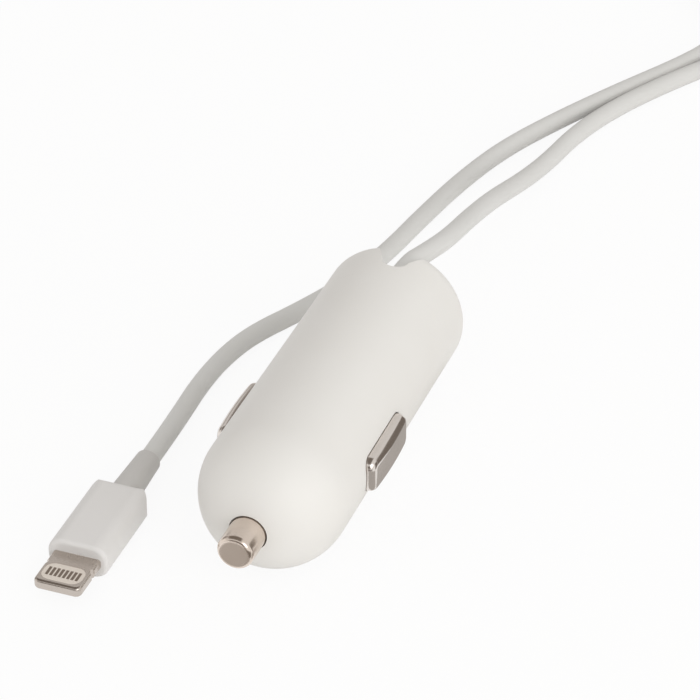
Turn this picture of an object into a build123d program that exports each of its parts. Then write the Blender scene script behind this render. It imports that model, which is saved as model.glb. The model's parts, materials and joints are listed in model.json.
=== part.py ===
"""Car charger plug with a fixed cord and a flat phone connector, lying on a table."""
import os
from math import atan2, degrees, pi, radians, sqrt, tan

from build123d import *

# Driving dimensions in millimetres
# The plug's axis lies along Y with the nose towards -Y, and the plug rests on z = 0

# Barrel, placed by the front face of its tip
plug_front_y = -32.05
barrel_radius = 10.2
locating_length = 5.0
barrel_draft = 0.15
tail_dome_height = 4.8
tail_corner = 2.9
wall = 1.6
cap_skirt = 6.4
cap_end_wall = 2.8
cap_inner_corner = 2.4
spigot_length = 4.0
spigot_wall = 1.2
press_gap = 0.02

# Spring-loaded centre tip
tip_out = 4.5
tip_radius = 2.5
tip_edge = 0.75
tip_travel = 2.5
tip_guide_length = 5.0
tip_boss_wall = 1.7
tip_boss_root = 1.2
tip_mouth_gap = 0.15
tip_mouth_depth = 1.2
tip_flange_lip = 1.0
tip_flange_thickness = 0.9
tip_tail_radius = 1.2
tip_tail_length = 1.8
running_gap = 0.05
stop_gap = 0.05

# Coil spring behind the tip and the terminal that it stands on
spring_wire_radius = 0.26
spring_turns = 4
spring_spare = 0.9
terminal_thickness = 0.6
terminal_tab_width = 2.4
terminal_tab_length = 2.4
terminal_tab_thickness = 0.4

# Side contacts, one at each end of the X axis
contact_setback = 6.5
contact_length = 13.0
contact_width = 5.2
contact_corner = 1.5
contact_proud = 1.3
contact_end_proud = 1.0
contact_edge = 1.1
contact_lip = 0.55
contact_flange_thickness = 0.6
contact_travel = 1.4
slot_gap = 0.15
leaf_thickness = 0.25
leaf_width = 3.4
leaf_length = 11.0
leaf_foot = 0.7
leaf_flat_room = 1.0

# Ground strap that both leaf springs press on
strap_thickness = 0.5
strap_length = 12.5
strap_rise = 4.6
strap_gap = 0.1

# Main board on its rails
board_thickness = 1.2
board_drop = 1.4
board_side_gap = 1.4
board_shoulder = 3.0
board_end_gap = 0.4
rail_thickness = 0.8
rail_bite = 0.6
rail_gap = 0.05
rail_gap_to_spigot = 0.3

# Parts on the board
part_gap = 0.5
part_bevel = 0.2
fuse_size = (4.4, 2.8, 1.4)
diode_size = (4.2, 2.6, 2.1)
resistor_size = (0.8, 1.6, 0.5)
resistor_count = 4
chip_height = 1.5
chip_end = 0.335
chip_lead_count = 4
chip_lead_pitch = 1.27
chip_lead_length = 0.9
chip_lead_width = 0.42
chip_lead_thickness = 0.2
chip_lift = 0.15
inductor_mid_gap = 0.1
inductor_height = 4.4
inductor_flange = 0.8
inductor_waist = 0.7
inductor_corner = 1.0
can_in_side_gap = 1.25
can_in_height = 7.0
can_out_side_gap = 0.55
can_out_height = 6.0
can_base_thickness = 0.5
can_base_lip = 0.3
can_edge = 0.4
ceramic_size = (1.25, 1.6, 1.2)

# Cord outlet in the tail: a bell-mouthed trough that opens upwards and to the rear
outlet_x = 0.7
outlet_depth = 3.35
trough_run = 8.15
trough_half_width = 1.9
trough_flare = 28.0
trough_wall = 1.2
cord_radius = 1.4
grommet_radius = 1.75
grommet_collar = 0.3
grommet_collar_length = 0.8
grommet_neck_out = 0.6
grommet_nose_length = 1.8
grommet_nose_wall = 0.25
clamp_wall = 0.35
clamp_length = 2.4
jacket_stub = 0.6
lead_radius = 0.5
lead_spacing = 1.3
lead_bend = 1.8
lead_foot_inset = 0.95

# Phone connector, lying flat with its tongue towards -Y
connector_x = -22.6
connector_front_y = -30.85
boot_width = 8.6
boot_length = 14.9
boot_height = 5.0
boot_side_round = 2.2
boot_rear_corner = 2.4
boot_rear_round = 1.3
boot_front_edge = 0.6
sleeve_length = 8.7
sleeve_root = 0.8
sleeve_base_radius = 2.1
sleeve_end_radius = 1.75
sleeve_edge = 0.25
tongue_width = 6.7
tongue_height = 1.5
tongue_out = 6.8
tongue_base = 3.0
tongue_corner = 0.9
tongue_edge = 0.45
notch_radius = 0.45
notch_from_boot = 2.5
window_width = 5.7
window_length = 3.5
window_from_tip = 0.75
window_corner = 1.4
window_sink = 0.03
pad_count = 8
pad_pitch = 0.6
pad_width = 0.38
pad_length = 1.7
pad_thickness = 0.12
pad_proud = 0.02
id_board_length = 7.0
id_board_width = 5.6
id_board_thickness = 0.8

# Cord route, as points chosen along the line that it lies on, and how far into a run each arc may reach
arc_reach = 0.45
outlet_straight = 5.5
plug_run_points = [
    (2.1, 34.4, 16.3),
    (2.7, 42.0, 14.3),
    (2.0, 53.0, 10.9),
    (1.7, 65.0, 7.2),
    (2.1, 78.0, 2.9),
    (3.2, 87.0, 1.4),
    (4.7, 96.5, 1.4),
    (8.0, 106.0, 1.4),
    (13.2, 116.0, 1.4),
    (19.6, 126.2, 1.4),
    (28.4, 137.9, 1.5),
    (38.1, 150.1, 1.95),
]
sleeve_straight = 5.6
connector_run_points = [
    (-23.2, 6.4, 1.7),
    (-23.6, 13.2, 1.4),
    (-23.1, 20.4, 1.4),
    (-21.4, 27.4, 1.4),
    (-17.2, 35.4, 1.4),
    (-13.6, 43.6, 1.4),
    (-10.9, 54.4, 1.4),
    (-9.4, 65.4, 1.4),
    (-7.3, 77.4, 1.4),
    (-4.2, 88.6, 1.4),
    (0.9, 99.6, 1.4),
    (7.2, 111.3, 1.4),
    (13.7, 122.3, 1.4),
    (17.2, 130.0, 1.4),
    (16.6, 138.0, 1.4),
    (12.2, 145.2, 3.4),
    (8.2, 152.0, 5.0),
    (8.2, 158.5, 4.6),
]

# Tied coil of the cord's put-away length
coil_x = 25.0
coil_y = 161.5
coil_radius = 14.0
coil_band = 11.2
coil_height = 5.3
coil_edge = 1.8
tie_thickness = 0.55
tie_arc = 16.0
tie_angle = 20.0

# Radii and widths worked out from the driving dimensions
axis_z = barrel_radius
tail_radius = barrel_radius - barrel_draft
crown_span = tail_radius - tail_corner
crown_radius = (crown_span**2 + tail_dome_height**2 - tail_corner**2) / (2 * (tail_dome_height - tail_corner))
crown_angle = degrees(atan2(crown_span, crown_radius - tail_dome_height))
bore_radius = barrel_radius - wall
spigot_radius = bore_radius - press_gap
spigot_bore = spigot_radius - spigot_wall
guide_radius = tip_radius + running_gap
boss_radius = guide_radius + tip_boss_wall
mouth_radius = tip_radius + tip_mouth_gap
flange_half = contact_width / 2 + contact_lip
contact_seat_x = sqrt(bore_radius**2 - flange_half**2) - stop_gap
contact_back_x = contact_seat_x - contact_flange_thickness
leaf_room = contact_travel + leaf_flat_room
cheek_x = contact_back_x - leaf_room
board_top = axis_z - board_drop
board_bottom = board_top - board_thickness
board_half_width = bore_radius - board_side_gap
front_half_width = cheek_x - strap_thickness - strap_gap
can_in_radius = front_half_width - can_in_side_gap

# Two columns side by side on the board's wide end: chip and output can, inductor and ceramics
free_half = board_half_width - rail_bite - part_gap
inductor_size = free_half - inductor_mid_gap
inductor_x = free_half - inductor_size / 2
chip_column_width = free_half + inductor_mid_gap - part_gap
chip_column_x = chip_column_width / 2 - free_half
chip_width = chip_column_width - 2 * chip_lead_length
chip_length = (chip_lead_count - 1) * chip_lead_pitch + chip_lead_width + 2 * chip_end
can_out_radius = chip_column_width / 2 - can_out_side_gap
chip_column_length = chip_length + 2 * can_out_radius + 3 * part_gap
inductor_column_length = inductor_size + ceramic_size[1] + 3 * part_gap + lead_radius + lead_foot_inset
ceramic_pitch = ceramic_size[0] + part_gap
ceramic_count = int((inductor_size + part_gap) / ceramic_pitch)

# Places along the plug, each behind the one before it, so that the barrel is as long as what it holds
nose_pole_y = plug_front_y + tip_out
nose_y = nose_pole_y + barrel_radius
boss_end_y = nose_pole_y + tip_guide_length
flange_front_y = boss_end_y + stop_gap
flange_back_y = flange_front_y + tip_flange_thickness
spring_room = tip_travel + 2 * spring_wire_radius * (spring_turns + 1) + spring_spare
terminal_y = flange_back_y + spring_room
board_front_y = terminal_y + terminal_thickness
fuse_y = board_front_y + terminal_tab_length + part_gap + fuse_size[1] / 2
can_in_y = fuse_y + fuse_size[1] / 2 + part_gap + can_in_radius
diode_y = can_in_y + can_in_radius + part_gap + diode_size[1] / 2
resistor_y = diode_y + diode_size[1] / 2 + part_gap + resistor_size[1] / 2
contact_half = contact_length / 2
contact_y = nose_y + contact_setback + contact_half
contact_rear_y = contact_y + contact_half
board_shoulder_y = max(contact_rear_y + board_shoulder, resistor_y + resistor_size[1] / 2 + part_gap)
inductor_y = board_shoulder_y + part_gap + inductor_size / 2
ceramic_y = inductor_y + inductor_size / 2 + part_gap + ceramic_size[1] / 2
chip_y = board_shoulder_y + part_gap + chip_length / 2
board_rear_y = board_shoulder_y + max(chip_column_length, inductor_column_length)
can_out_y = board_rear_y - part_gap - can_out_radius
lead_foot_y = board_rear_y - lead_foot_inset
rail_end_y = board_rear_y + board_end_gap
seam_y = rail_end_y + rail_gap_to_spigot + spigot_length
tail_y = seam_y + cap_skirt
tail_pole_y = tail_y + tail_dome_height

# Places in the cord outlet and the phone connector
outlet_z = axis_z + tail_radius - outlet_depth
trough_y = tail_pole_y - trough_run
grommet_back_y = trough_y - trough_wall
grommet_neck_y = trough_y + grommet_neck_out
clamp_end_y = grommet_back_y - grommet_collar_length
clamp_start_y = clamp_end_y - clamp_length
jacket_end_y = clamp_start_y - jacket_stub
connector_z = boot_height / 2
boot_rear_y = connector_front_y + boot_length
sleeve_end_y = boot_rear_y + sleeve_length
tongue_tip_y = connector_front_y - tongue_out

plug_axis = Axis((0, 0, axis_z), (0, 1, 0))
outlet_axis = Axis((outlet_x, 0, outlet_z), (0, 1, 0))
sleeve_axis = Axis((connector_x, 0, connector_z), (0, 1, 0))
axial_plane = Plane(origin=(0, 0, axis_z), x_dir=(1, 0, 0), z_dir=(0, 0, 1))
outlet_plane = Plane(origin=(outlet_x, 0, outlet_z), x_dir=(1, 0, 0), z_dir=(0, 0, 1))
boot_side_plane = Plane(
    origin=(connector_x, connector_front_y, connector_z), x_dir=(0, 1, 0), z_dir=(1, 0, 0)
)
sleeve_plane = Plane(origin=(connector_x, 0, connector_z), x_dir=(1, 0, 0), z_dir=(0, 0, 1))


def across(y):
    """Plane square to the plug's axis at y, facing the rear, with local x along -X and local y up."""
    return Plane(origin=(0, y, 0), x_dir=(-1, 0, 0), z_dir=(0, 1, 0))


def sideways(side, x):
    """Plane square to X on one side of the axis, facing outwards, centred on the side contact."""
    return Plane(origin=(side * x, contact_y, axis_z), x_dir=(0, 1, 0), z_dir=(side, 0, 0))


def save(part, name):
    """Label a finished piece and write it as its own file."""
    part.label = name
    export_step(part, f"parts/{name}.step")


def cord_tube(points):
    """Round tube along straight runs joined by the largest tangent arcs that the runs allow."""
    spots = [Vector(*point) for point in points]
    runs = [after - before for before, after in zip(spots, spots[1:])]
    radii = []
    for before, after in zip(runs, runs[1:]):
        half_turn = radians(before.get_angle(after)) / 2
        radii.append(arc_reach * min(before.length, after.length) / tan(half_turn))
    with BuildPart() as tube:
        with BuildLine() as route:
            FilletPolyline(*spots, radius=radii)
        with BuildSketch(Plane(origin=spots[0], z_dir=runs[0])):
            Circle(cord_radius)
        sweep(path=route.line)
    print("arc radii", [round(radius, 1) for radius in radii])
    length = sum(edge.length for edge in route.edges())
    volume_ratio = tube.part.volume / (pi * cord_radius**2 * length)
    print("length", round(length, 1), "volume over section times length", round(volume_ratio, 5))
    return tube.part


os.makedirs("parts", exist_ok=True)

# Housing: nose dome, barrel, tip guide, contact slots and board rails in one moulding
with BuildPart() as housing:
    with BuildSketch(axial_plane):
        with BuildLine():
            CenterArc((0, nose_y), barrel_radius, -90, 90)
            CenterArc((0, nose_y), bore_radius, -90, 90)
            Line((0, nose_pole_y), (0, nose_pole_y + wall))
            Polyline(
                (barrel_radius, nose_y),
                (barrel_radius, nose_y + locating_length),
                (tail_radius, seam_y),
                (bore_radius, seam_y),
                (bore_radius, nose_y),
            )
        make_face()
    revolve(axis=plug_axis)
    with BuildSketch(axial_plane):
        with BuildLine():
            Polyline(
                (0, nose_pole_y + tip_boss_root),
                (boss_radius, nose_pole_y + tip_boss_root),
                (boss_radius, boss_end_y),
                (0, boss_end_y),
                close=True,
            )
        make_face()
    revolve(axis=plug_axis)
    with BuildSketch(axial_plane):
        with BuildLine():
            Polyline(
                (0, plug_front_y),
                (mouth_radius, plug_front_y),
                (mouth_radius, nose_pole_y + tip_mouth_depth),
                (guide_radius, nose_pole_y + tip_mouth_depth),
                (guide_radius, boss_end_y),
                (0, boss_end_y),
                close=True,
            )
        make_face()
    revolve(axis=plug_axis, mode=Mode.SUBTRACT)
    with BuildSketch(sideways(1, 0)):
        RectangleRounded(
            contact_length + 2 * slot_gap, contact_width + 2 * slot_gap, contact_corner + slot_gap
        )
    extrude(amount=barrel_radius, both=True, mode=Mode.SUBTRACT)
    rail_inner = board_half_width - rail_bite
    rail_spans = [
        (board_drop - rail_gap - rail_thickness, board_drop - rail_gap),
        (board_drop + board_thickness + rail_gap, board_drop + board_thickness + rail_gap + rail_thickness),
    ]
    with BuildSketch(across(board_shoulder_y)):
        for near, far in rail_spans:
            rail_outer = sqrt((bore_radius + wall / 2) ** 2 - max(abs(near), abs(far)) ** 2)
            for side in (-1, 1):
                with Locations((side * (rail_inner + rail_outer) / 2, axis_z - (near + far) / 2)):
                    Rectangle(rail_outer - rail_inner, far - near)
    extrude(amount=rail_end_y - board_shoulder_y)
save(housing.part, "housing")

# Outer form of the tail, used to bound the trough's walls
with BuildPart() as tail_form:
    with BuildSketch(axial_plane):
        with BuildLine():
            corner = CenterArc((tail_radius - tail_corner, tail_y), tail_corner, 0, 90 - crown_angle)
            crown = CenterArc((0, tail_pole_y - crown_radius), crown_radius, 90 - crown_angle, crown_angle)
            Polyline(crown @ 1, (0, seam_y), (tail_radius, seam_y), corner @ 0)
        make_face()
    revolve(axis=plug_axis)


def trough_form(grown):
    """Cord trough grown all round: round front end, flared mouth, round floor and straight walls above."""
    bend_y = trough_y + trough_half_width
    half = trough_half_width + grown
    mouth_half = half + (tail_pole_y - bend_y) * tan(radians(trough_flare))
    with BuildPart() as form:
        with BuildSketch(outlet_plane) as half_plan:
            with BuildLine():
                CenterArc((0, bend_y), half, -90, 90)
                Polyline((half, bend_y), (mouth_half, tail_pole_y), (0, tail_pole_y), (0, bend_y - half))
            make_face()
        revolve(axis=outlet_axis)
        with BuildSketch(outlet_plane):
            add(half_plan.sketch_local)
            mirror(about=Plane.YZ)
        extrude(amount=barrel_radius)
    return form.part


# Rear cap: flattened dome with a spigot and the cord trough
with BuildPart() as rear_cap:
    add(tail_form.part)
    with BuildSketch(across(seam_y)):
        with Locations((0, axis_z)):
            Circle(spigot_radius)
    extrude(amount=-spigot_length)
    with BuildSketch(axial_plane):
        with BuildLine():
            FilletPolyline(
                (0, seam_y - spigot_length),
                (spigot_bore, seam_y - spigot_length),
                (spigot_bore, tail_pole_y - cap_end_wall),
                (0, tail_pole_y - cap_end_wall),
                close=True,
                radius=[0, 0, cap_inner_corner, 0],
            )
        make_face()
    revolve(axis=plug_axis, mode=Mode.SUBTRACT)
    with BuildSketch(across(seam_y)):
        with Locations((-outlet_x, outlet_z - trough_half_width)):
            Rectangle(
                2 * (trough_half_width + trough_wall), 2 * barrel_radius, align=(Align.CENTER, Align.MIN)
            )
    extrude(amount=-spigot_length, mode=Mode.SUBTRACT)
    add(trough_form(trough_wall).intersect(tail_form.part))
    with BuildSketch(across(grommet_back_y)):
        with Locations((-outlet_x, outlet_z)):
            Circle(grommet_radius + grommet_collar)
    extrude(amount=seam_y - grommet_back_y, mode=Mode.SUBTRACT)
    with BuildSketch(across(grommet_back_y)):
        with Locations((-outlet_x, outlet_z)):
            Circle(grommet_radius)
    extrude(amount=trough_wall + trough_half_width, mode=Mode.SUBTRACT)
    add(trough_form(0), mode=Mode.SUBTRACT)
save(rear_cap.part, "rear_cap")

# Centre tip: turned pin with a stop flange and a tail that keeps the spring in place
with BuildPart() as tip_pin:
    with BuildSketch(axial_plane):
        with BuildLine():
            Polyline(
                (0, plug_front_y),
                (tip_radius, plug_front_y),
                (tip_radius, flange_front_y),
                (tip_radius + tip_flange_lip, flange_front_y),
                (tip_radius + tip_flange_lip, flange_back_y),
                (tip_tail_radius, flange_back_y),
                (tip_tail_radius, flange_back_y + tip_tail_length),
                (0, flange_back_y + tip_tail_length),
                close=True,
            )
        make_face()
    revolve(axis=plug_axis)
    fillet(tip_pin.edges().filter_by(GeomType.CIRCLE).group_by(Axis.Y)[0], tip_edge)
save(tip_pin.part, "tip_pin")

# Tip spring: round wire wound between the flange and the terminal
with BuildPart() as tip_spring:
    spring_rise = spring_room - 2 * spring_wire_radius
    with BuildLine() as wire:
        Helix(
            pitch=spring_rise / spring_turns,
            height=spring_rise,
            radius=tip_radius - spring_wire_radius,
            center=(0, flange_back_y + spring_wire_radius, axis_z),
            direction=(0, 1, 0),
        )
    with BuildSketch(Plane(origin=wire.line @ 0, z_dir=wire.line % 0)):
        Circle(spring_wire_radius)
    sweep(path=wire.line, is_frenet=True)
save(tip_spring.part, "tip_spring")

# Tip terminal: disc that the spring stands on, with a tab soldered to the board
with BuildPart() as tip_terminal:
    with BuildSketch(across(terminal_y)):
        with Locations((0, axis_z)):
            Circle(tip_radius + tip_flange_lip)
    extrude(amount=terminal_thickness)
    with BuildSketch(Plane.XY.offset(board_top)):
        with Locations((0, board_front_y)):
            Rectangle(terminal_tab_width, terminal_tab_length, align=(Align.CENTER, Align.MIN))
    extrude(amount=terminal_tab_thickness)
save(tip_terminal.part, "tip_terminal")


def side_contact(side):
    """Bowed contact bar that stands out of its slot, with a flange that keeps it in the barrel."""
    seat_x = side * contact_seat_x
    end_x = side * (barrel_radius + contact_end_proud)
    crest_x = side * (barrel_radius + contact_proud)
    with BuildPart() as contact:
        with BuildSketch(Plane.XY.offset(axis_z - contact_width / 2)):
            with BuildLine():
                ThreePointArc(
                    (end_x, contact_y - contact_half), (crest_x, contact_y), (end_x, contact_y + contact_half)
                )
                Polyline(
                    (end_x, contact_y + contact_half),
                    (seat_x, contact_y + contact_half),
                    (seat_x, contact_y - contact_half),
                    (end_x, contact_y - contact_half),
                )
            make_face()
        extrude(amount=contact_width)
        fillet(contact.edges().filter_by(Axis.X), contact_corner)
        crown = contact.faces().sort_by(Axis.X)[-1 if side > 0 else 0]
        fillet(crown.edges(), contact_edge)
        with BuildSketch(sideways(side, contact_back_x)):
            RectangleRounded(
                contact_length + 2 * contact_lip, 2 * flange_half, contact_corner + contact_lip
            )
        extrude(amount=contact_flange_thickness)
    return contact.part


def leaf_spring(side):
    """Bowed strip between the ground strap's cheek and the back of the contact."""
    half = leaf_length / 2
    crest = leaf_room - stop_gap
    with BuildPart() as leaf:
        with BuildSketch(Plane.XY.offset(axis_z - leaf_width / 2)):
            with BuildLine():
                foot_x = side * cheek_x
                ThreePointArc(
                    (foot_x, contact_y - half),
                    (foot_x + side * crest, contact_y),
                    (foot_x, contact_y + half),
                )
                Line((foot_x, contact_y + half), (foot_x, contact_y + half - leaf_foot))
                ThreePointArc(
                    (foot_x, contact_y + half - leaf_foot),
                    (foot_x + side * (crest - leaf_thickness), contact_y),
                    (foot_x, contact_y - half + leaf_foot),
                )
                Line((foot_x, contact_y - half + leaf_foot), (foot_x, contact_y - half))
            make_face()
        extrude(amount=leaf_width)
    return leaf.part


for side_name, side_sign in (("right", 1), ("left", -1)):
    save(side_contact(side_sign), f"side_contact_{side_name}")
    save(leaf_spring(side_sign), f"leaf_spring_{side_name}")

# Ground strap: folded strip that runs under the board and up both sides of it
with BuildPart() as ground_strap:
    with BuildSketch(across(contact_y - strap_length / 2)):
        with Locations((0, board_bottom - strap_thickness)):
            Rectangle(2 * cheek_x, strap_rise + axis_z - board_bottom, align=(Align.CENTER, Align.MIN))
        with Locations((0, board_bottom)):
            Rectangle(
                2 * (cheek_x - strap_thickness),
                strap_rise + axis_z - board_bottom,
                align=(Align.CENTER, Align.MIN),
                mode=Mode.SUBTRACT,
            )
    extrude(amount=strap_length)
save(ground_strap.part, "ground_strap")

# Main board: narrow between the strap's cheeks and wide where the rails hold it
with BuildPart() as main_board:
    with BuildSketch(Plane.XY.offset(board_bottom)):
        with Locations((0, board_front_y)):
            Rectangle(2 * front_half_width, board_rear_y - board_front_y, align=(Align.CENTER, Align.MIN))
        with Locations((0, board_shoulder_y)):
            Rectangle(2 * board_half_width, board_rear_y - board_shoulder_y, align=(Align.CENTER, Align.MIN))
    extrude(amount=board_thickness)
save(main_board.part, "main_board")


def block(size, x, y):
    """Small block that stands on the board with its top edges bevelled."""
    with BuildPart() as item:
        with BuildSketch(Plane.XY.offset(board_top)):
            with Locations((x, y)):
                Rectangle(size[0], size[1])
        extrude(amount=size[2])
        chamfer(item.faces().sort_by(Axis.Z)[-1].edges(), part_bevel)
    return item.part


def can_capacitor(radius, height, x, y):
    """Upright can on a square base, with a rounded top edge."""
    with BuildPart() as can:
        with BuildSketch(Plane.XY.offset(board_top)):
            with Locations((x, y)):
                Rectangle(2 * radius, 2 * radius)
        extrude(amount=can_base_thickness)
        with BuildSketch(Plane.XY.offset(board_top + can_base_thickness)):
            with Locations((x, y)):
                Circle(radius - can_base_lip)
        extrude(amount=height - can_base_thickness)
        fillet(can.faces().sort_by(Axis.Z)[-1].edges(), can_edge)
    return can.part


# Parts in a row along the board
save(block(fuse_size, 0, fuse_y), "chip_fuse")
save(can_capacitor(can_in_radius, can_in_height, 0, can_in_y), "input_capacitor")
save(block(diode_size, 0, diode_y), "rectifier_diode")
save(can_capacitor(can_out_radius, can_out_height, chip_column_x, can_out_y), "output_capacitor")

# Converter chip: moulded body with a row of flat leads on each side
with BuildPart() as converter_chip:
    with BuildSketch(Plane.XY.offset(board_top + chip_lift)):
        with Locations((chip_column_x, chip_y)):
            Rectangle(chip_width, chip_length)
    extrude(amount=chip_height)
    chamfer(converter_chip.faces().sort_by(Axis.Z)[-1].edges(), part_bevel)
    with BuildSketch(Plane.XY.offset(board_top)):
        for lead_side in (-1, 1):
            with Locations((chip_column_x + lead_side * chip_width / 2, chip_y)):
                with GridLocations(0, chip_lead_pitch, 1, chip_lead_count):
                    Rectangle(2 * chip_lead_length, chip_lead_width)
    extrude(amount=chip_lift + chip_lead_thickness)
save(converter_chip.part, "converter_chip")

# Inductor: square drum core with a waist, and the winding that fills the waist
inductor_core_half = inductor_size / 2 - inductor_waist
with BuildPart() as inductor_core:
    for flange_z in (board_top, board_top + inductor_height - inductor_flange):
        with BuildSketch(Plane.XY.offset(flange_z)):
            with Locations((inductor_x, inductor_y)):
                RectangleRounded(inductor_size, inductor_size, inductor_corner)
        extrude(amount=inductor_flange)
    with BuildSketch(Plane.XY.offset(board_top + inductor_flange)):
        with Locations((inductor_x, inductor_y)):
            Circle(inductor_core_half - inductor_waist)
    extrude(amount=inductor_height - 2 * inductor_flange)
save(inductor_core.part, "inductor_core")

with BuildPart() as inductor_winding:
    with BuildSketch(Plane.XY.offset(board_top + inductor_flange)):
        with Locations((inductor_x, inductor_y)):
            Circle(inductor_core_half)
            Circle(inductor_core_half - inductor_waist, mode=Mode.SUBTRACT)
    extrude(amount=inductor_height - 2 * inductor_flange)
save(inductor_winding.part, "inductor_winding")

# Small chip parts in two short rows
with BuildPart() as ceramic_capacitors:
    with BuildSketch(Plane.XY.offset(board_top)):
        with Locations((inductor_x, ceramic_y)):
            with GridLocations(ceramic_pitch, 0, ceramic_count, 1):
                Rectangle(ceramic_size[0], ceramic_size[1])
    extrude(amount=ceramic_size[2])
save(ceramic_capacitors.part, "ceramic_capacitors")

with BuildPart() as chip_resistors:
    with BuildSketch(Plane.XY.offset(board_top)):
        with Locations((0, resistor_y)):
            with GridLocations(resistor_size[0] + part_gap, 0, resistor_count, 1):
                Rectangle(resistor_size[0], resistor_size[1])
    extrude(amount=resistor_size[2])
save(chip_resistors.part, "chip_resistors")

# Cord grommet: collar inside, neck through the trough's front wall, tapered nose in the trough
with BuildPart() as cord_grommet:
    with BuildSketch(outlet_plane):
        with BuildLine():
            Polyline(
                (cord_radius, clamp_end_y),
                (grommet_radius + grommet_collar, clamp_end_y),
                (grommet_radius + grommet_collar, grommet_back_y),
                (grommet_radius, grommet_back_y),
                (grommet_radius, grommet_neck_y),
                (cord_radius + grommet_nose_wall, grommet_neck_y + grommet_nose_length),
                (cord_radius, grommet_neck_y + grommet_nose_length),
                close=True,
            )
        make_face()
    revolve(axis=outlet_axis)
save(cord_grommet.part, "cord_grommet")

# Cord clamp: crimped sleeve that bears on the grommet and keeps the cord from pulling out
with BuildPart() as cord_clamp:
    with BuildSketch(across(clamp_start_y)):
        with Locations((-outlet_x, outlet_z)):
            Circle(cord_radius + clamp_wall)
            Circle(cord_radius, mode=Mode.SUBTRACT)
    extrude(amount=clamp_length)
save(cord_clamp.part, "cord_clamp")


def inner_lead(offset):
    """Wire from the cord's cut end forwards and down to its pad on the board."""
    x = outlet_x + offset
    with BuildPart() as lead:
        with BuildLine() as path:
            FilletPolyline(
                (x, jacket_end_y, outlet_z),
                (x, lead_foot_y, outlet_z),
                (x, lead_foot_y, board_top),
                radius=lead_bend,
            )
        with BuildSketch(Plane(origin=path.line @ 0, z_dir=path.line % 0)):
            Circle(lead_radius)
        sweep(path=path.line)
    return lead.part


save(inner_lead(lead_spacing / 2), "supply_lead")
save(inner_lead(-lead_spacing / 2), "return_lead")

# Cord from the plug to the coil, and from the coil to the phone connector
outlet_points = [(outlet_x, jacket_end_y, outlet_z), (outlet_x, trough_y + outlet_straight, outlet_z)]
save(cord_tube(outlet_points + plug_run_points), "cord_plug_run")
sleeve_points = [
    (connector_x, sleeve_end_y, connector_z),
    (connector_x, sleeve_end_y + sleeve_straight, connector_z),
]
save(cord_tube(sleeve_points + connector_run_points), "cord_connector_run")

# Tie: flat band round the coil's turns, which the coil rests on
coil_axis = Axis((coil_x, coil_y, 0), (0, 0, 1))
coil_middle = Vector(coil_x, coil_y, tie_thickness + coil_height / 2)
coil_section = Plane(origin=coil_middle, x_dir=(1, 0, 0), z_dir=(0, -1, 0))
with BuildPart() as coil_tie:
    with BuildSketch(coil_section):
        with Locations((coil_radius, 0)):
            RectangleRounded(
                coil_band + 2 * tie_thickness, coil_height + 2 * tie_thickness, coil_edge + tie_thickness
            )
            RectangleRounded(coil_band, coil_height, coil_edge, mode=Mode.SUBTRACT)
    revolve(axis=coil_axis, revolution_arc=tie_arc)
save(coil_tie.part.rotate(coil_axis, tie_angle), "coil_tie")

# Coil: outer shape of the wound turns, which both runs of the cord go into
with BuildPart() as cord_coil:
    with BuildSketch(coil_section):
        with Locations((coil_radius, 0)):
            RectangleRounded(coil_band, coil_height, coil_edge)
    revolve(axis=coil_axis)
save(cord_coil.part, "cord_coil")

# Connector tongue: flat metal blade with a window through it and a notch in each edge
with BuildPart() as connector_tongue:
    tongue_bottom = connector_z - tongue_height / 2
    tongue_length = tongue_out + tongue_base
    tongue_mid_y = tongue_tip_y + tongue_length / 2
    with BuildSketch(Plane.XY.offset(tongue_bottom)):
        with Locations((connector_x, tongue_mid_y)):
            RectangleRounded(tongue_width, tongue_length, tongue_corner)
        with Locations((connector_x, connector_front_y + tongue_base / 2)):
            Rectangle(tongue_width, tongue_base)
    extrude(amount=tongue_height)
    fillet(connector_tongue.faces().filter_by(Axis.Z).edges(), tongue_edge)
    window_y = tongue_tip_y + window_from_tip + window_length / 2
    with BuildSketch(Plane.XY.offset(tongue_bottom)):
        with Locations((connector_x, window_y)):
            RectangleRounded(window_width, window_length, window_corner)
        for edge_side in (-1, 1):
            with Locations((connector_x + edge_side * tongue_width / 2, connector_front_y - notch_from_boot)):
                Circle(notch_radius)
    extrude(amount=tongue_height, mode=Mode.SUBTRACT)
save(connector_tongue.part, "connector_tongue")


def pad_row(face_sign):
    """Row of contact pads let into one face of the insulator."""
    outer_z = connector_z + face_sign * (tongue_height / 2 - window_sink + pad_proud)
    with BuildPart() as pads:
        with BuildSketch(Plane(origin=(connector_x, window_y, outer_z), z_dir=(0, 0, -face_sign))):
            with GridLocations(pad_pitch, 0, pad_count, 1):
                Rectangle(pad_width, pad_length)
        extrude(amount=pad_thickness)
    return pads.part


upper_pads = pad_row(1)
lower_pads = pad_row(-1)
save(upper_pads, "upper_contact_pads")
save(lower_pads, "lower_contact_pads")

# Contact insulator: fills the window and carries the pads
with BuildPart() as contact_insulator:
    with BuildSketch(Plane.XY.offset(tongue_bottom + window_sink)):
        with Locations((connector_x, window_y)):
            RectangleRounded(window_width, window_length, window_corner)
    extrude(amount=tongue_height - 2 * window_sink)
    add(upper_pads, mode=Mode.SUBTRACT)
    add(lower_pads, mode=Mode.SUBTRACT)
save(contact_insulator.part, "contact_insulator")

# Identity board behind the tongue, inside the boot
with BuildPart() as identity_board:
    with BuildSketch(Plane.XY.offset(connector_z - id_board_thickness / 2)):
        with Locations((connector_x, connector_front_y + tongue_base)):
            Rectangle(id_board_width, id_board_length, align=(Align.CENTER, Align.MIN))
    extrude(amount=id_board_thickness)
save(identity_board.part, "identity_board")

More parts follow.
